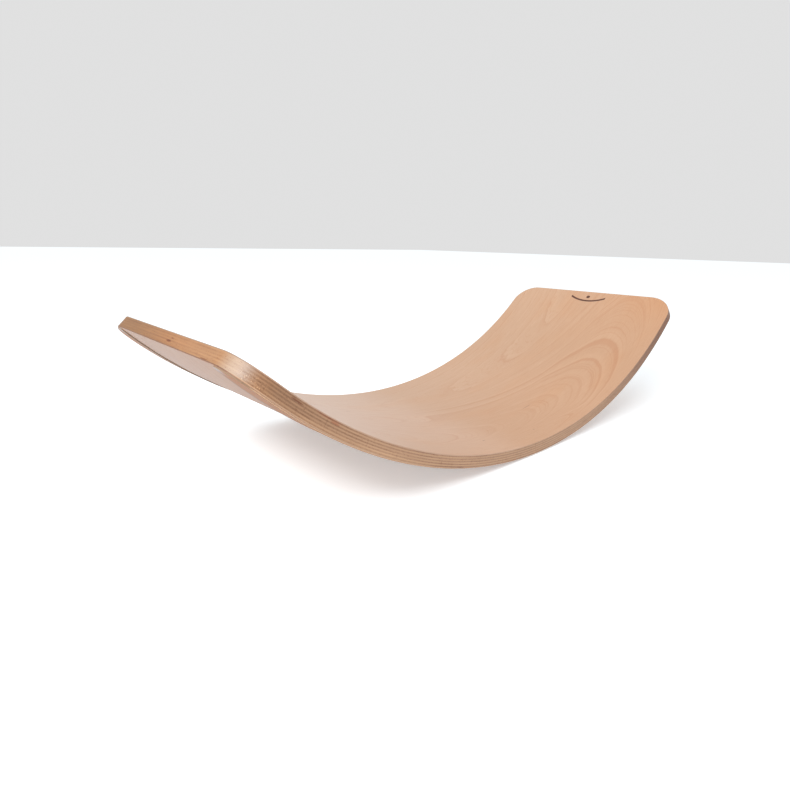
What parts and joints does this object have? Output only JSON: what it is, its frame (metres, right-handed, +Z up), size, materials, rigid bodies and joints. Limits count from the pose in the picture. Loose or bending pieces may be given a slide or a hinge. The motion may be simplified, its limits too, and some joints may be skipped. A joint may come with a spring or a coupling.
{
  "type": "balance board",
  "caption": "Curved rocker board of layered moulded beech plywood with rounded corners, a hollow upper face to stand or sit on, and clear anti-slip strips under its long edges.",
  "frame": {"origin": "middle of the line on which the board rests, where the floor strips are lowest", "axes": "+X along the board, +Y across it, +Z up"},
  "size_m": [0.7982, 0.3, 0.1687],
  "materials": {
    "beech_face": "beech veneer under a clear satin lacquer",
    "beech_long_grain": "sanded beech veneer edge under a clear satin lacquer",
    "beech_cross_grain": "sanded beech veneer edge, darker where the end grain shows, under a clear satin lacquer",
    "clear_strip": "clear soft plastic, smooth, slightly milky"
  },
  "bodies": {
    "root": {"top_veneer": "beech_face", "cross_veneer_1": "beech_cross_grain", "long_veneer_1": "beech_long_grain", "cross_veneer_2": "beech_cross_grain", "long_veneer_2": "beech_long_grain", "cross_veneer_3": "beech_cross_grain", "long_veneer_3": "beech_long_grain", "cross_veneer_4": "beech_cross_grain", "long_veneer_4": "beech_long_grain", "cross_veneer_5": "beech_cross_grain", "bottom_veneer": "beech_face", "floor_strip_front": "clear_strip", "floor_strip_rear": "clear_strip"}
  },
  "joints": []
}
